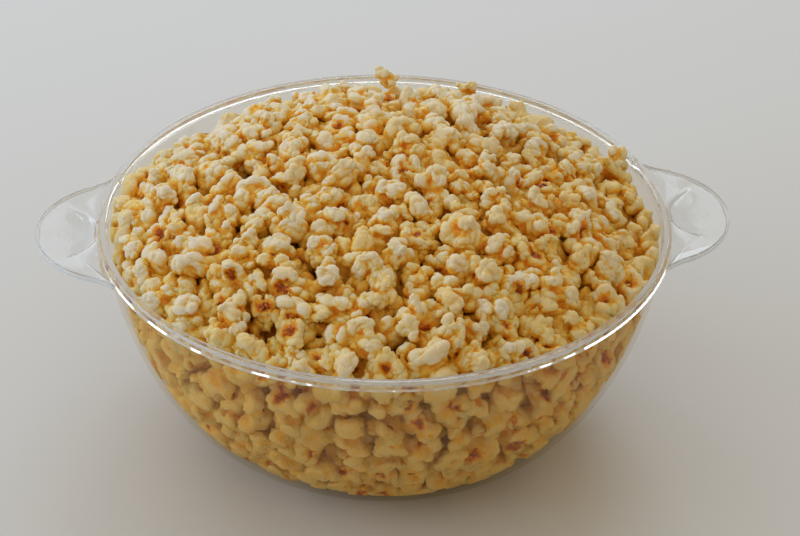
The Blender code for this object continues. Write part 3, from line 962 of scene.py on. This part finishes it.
def clear_material():
    """Clear plastic with faint scuffs, a painted bluish-white sheen and edge glow on the rim's band and
    tabs, and a warm tint on the wall that paints warm light on what shows through; it lets lamps and soft
    light through.
    """
    n = Nodes("clear_plastic_wall")
    place = n.add("ShaderNodeSeparateXYZ")
    n.set(place, "Vector", n.add("ShaderNodeTexCoord").outputs["Object"])
    x, y, z = (place.outputs[axis] for axis in "XYZ")
    squares = n.math('ADD', n.math('MULTIPLY', x, x), n.math('MULTIPLY', y, y))
    in_tab = n.spread(n.math('SQRT', squares), BAND_RADIUS, BAND_RADIUS + TAB_FADE)
    band = n.math('MAXIMUM', n.spread(z, *BAND_FADE), in_tab)
    low = n.spread(z, *EDGE_FADE, 1.0, 0.0)
    # Painted glow on the tabs' turned-down edges, a painted highlight of lamp light
    painted_edge_glow = n.math('MULTIPLY', n.math('MULTIPLY', in_tab, low), EDGE_PAINTED_GLOW)
    # The warm tint of the wall under the band is painted warm light on the popcorn seen through it; the
    # band and tabs stay nearly colourless
    n.set(n.shader, "Base Color", n.mix(band, (0.980, 0.940, 0.870, 1.0), (0.960, 0.970, 0.975, 1.0)))
    n.set(n.shader, "Roughness", n.spread(band, 0.0, 1.0, 0.045, 0.040))
    n.set(n.shader, "IOR", 1.47)
    n.set(n.shader, "Specular IOR Level", 0.22)
    n.set(n.shader, "Transmission Weight", 1.0)
    scuff_and_sheen = n.add("ShaderNodeBsdfDiffuse")
    # This diffuse layer is faint scuffs on the wall; on the band and tabs it is a painted bluish-white
    # sheen, a painted reflection of the lamps
    n.set(scuff_and_sheen, "Color", n.mix(band, (0.90, 0.80, 0.62, 1.0), (0.74, 0.82, 0.96, 1.0)))
    with_scuff_and_sheen = n.add("ShaderNodeMixShader")
    scuffs = n.spread(n.noise(30.0, 4.0, 0.6), 0.3, 0.8, 0.001, 0.006)
    scuff_and_sheen_share = n.math('ADD', scuffs, n.math('MULTIPLY', band, RIM_PAINTED_SHEEN))
    n.set(with_scuff_and_sheen, "0", n.math('ADD', scuff_and_sheen_share, painted_edge_glow))
    n.set(with_scuff_and_sheen, "1", n.shader.outputs[0])
    n.set(with_scuff_and_sheen, "2", scuff_and_sheen.outputs[0])
    path = n.add("ShaderNodeLightPath")
    through = n.add("ShaderNodeBsdfTransparent")
    # The warm tint on the wall here is painted warm light as well
    n.set(through, "Color", n.mix(band, (0.965, 0.940, 0.895, 1.0), (0.930, 0.945, 0.950, 1.0)))
    soft = n.math('MAXIMUM', path.outputs["Is Shadow Ray"], path.outputs["Is Diffuse Ray"])
    soft = n.math('MAXIMUM', soft, n.math('MULTIPLY', n.math('SUBTRACT', 1.0, band), WALL_CLEAR))
    soft = n.math('MAXIMUM', soft, n.math('GREATER_THAN', path.outputs["Ray Depth"], GUIDED_DEPTH))
    final = n.add("ShaderNodeMixShader")
    n.set(final, "0", soft)
    n.set(final, "1", with_scuff_and_sheen.outputs[0])
    n.set(final, "2", through.outputs[0])
    n.tree.links.new(final.outputs[0], n.output.inputs["Surface"])
    return n.material


# Stage

ROOM_COLOUR = (1.0, 0.82, 0.57, 1.0)
# Strength of the room's light from below and from overhead
ROOM_LOW = 0.32
ROOM_HIGH = 0.65
LAMP_AIM = (0.0, 0.0, 0.12)
# Lamps: name, place, width and height, power, colour, and whether the plastic mirrors it
LAMPS = (
    ("window", (-1.9, 0.15, 0.75), (2.2, 0.36), 13.2, (0.74, 0.86, 1.0), True),
    ("high_behind", (0.45, 1.25, 1.50), (0.9, 0.35), 4.5, (0.74, 0.87, 1.0), True),
    ("behind", (-0.3, 1.75, 1.05), (1.8, 0.7), 9.5, (0.76, 0.88, 1.0), False),
)
FLOOR_COLOUR = (0.68, 0.74, 0.84, 1.0)


def floor_material():
    n = Nodes("pale_floor")
    n.set(n.shader, "Base Color", FLOOR_COLOUR)
    n.set(n.shader, "Roughness", 0.6)
    return n.material


def make_floor():
    bpy.ops.mesh.primitive_plane_add(size=8.0, location=(0.0, 0.0, -0.0002))
    floor = bpy.context.object
    floor.name = "floor"
    floor.data.materials.append(floor_material())


def area_light(name, place, aim, size, power, colour):
    light = bpy.data.lights.new(name, 'AREA')
    light.shape = 'RECTANGLE'
    light.size, light.size_y = size
    light.energy = power
    light.color = colour
    made = bpy.data.objects.new(name, light)
    bpy.context.scene.collection.objects.link(made)
    made.location = place
    made.rotation_euler = (Vector(aim) - Vector(place)).to_track_quat('-Z', 'Y').to_euler()
    made.visible_camera = False
    return made


def make_light():
    """A warm room that is brighter overhead, with cool lamps: a window at the left and two behind."""
    bpy.context.scene.view_settings.view_transform = 'Standard'
    world = bpy.data.worlds.new("studio")
    bpy.context.scene.world = world
    world.use_nodes = True
    tree = world.node_tree
    background = tree.nodes["Background"]
    background.inputs["Color"].default_value = ROOM_COLOUR
    direction = tree.nodes.new("ShaderNodeTexCoord")
    parts = tree.nodes.new("ShaderNodeSeparateXYZ")
    rise = tree.nodes.new("ShaderNodeMapRange")
    rise.inputs["From Min"].default_value = -0.1
    rise.inputs["From Max"].default_value = 0.9
    rise.inputs["To Min"].default_value = ROOM_LOW
    rise.inputs["To Max"].default_value = ROOM_HIGH
    tree.links.new(direction.outputs["Generated"], parts.inputs["Vector"])
    tree.links.new(parts.outputs["Z"], rise.inputs["Value"])
    tree.links.new(rise.outputs["Result"], background.inputs["Strength"])
    for name, place, size, power, colour, mirrored in LAMPS:
        lamp = area_light(name, place, LAMP_AIM, size, power, colour)
        lamp.visible_glossy = mirrored


def make_camera():
    turn = math.radians(CAMERA_AZIMUTH)
    rise = math.radians(CAMERA_ELEVATION)
    level = math.cos(rise)
    forward = Vector((-math.sin(turn) * level, math.cos(turn) * level, -math.sin(rise)))
    right = Vector((math.cos(turn), math.sin(turn), 0.0))
    up = right.cross(forward)
    aim = Vector((0.0, 0.0, RIM)) + right * AIM_RIGHT - up * AIM_DOWN
    camera_data = bpy.data.cameras.new("camera")
    camera_data.lens = CAMERA_LENS
    camera_data.sensor_width = SENSOR_WIDTH
    camera_data.clip_start = 0.01
    camera = bpy.data.objects.new("camera", camera_data)
    bpy.context.scene.collection.objects.link(camera)
    roll = math.radians(CAMERA_ROLL)
    across = right * math.cos(roll) + up * math.sin(roll)
    upward = up * math.cos(roll) - right * math.sin(roll)
    facing = Matrix((across, upward, -forward)).transposed().to_4x4()
    camera.matrix_world = Matrix.Translation(aim - forward * CAMERA_DISTANCE) @ facing
    bpy.context.scene.camera = camera


def main():
    bowl = make_bowl(clear_material())
    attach(bowl, "root")
    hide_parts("bowl")
    make_popcorn(popcorn_material(), core_material())
    make_floor()
    make_light()
    make_camera()


main()
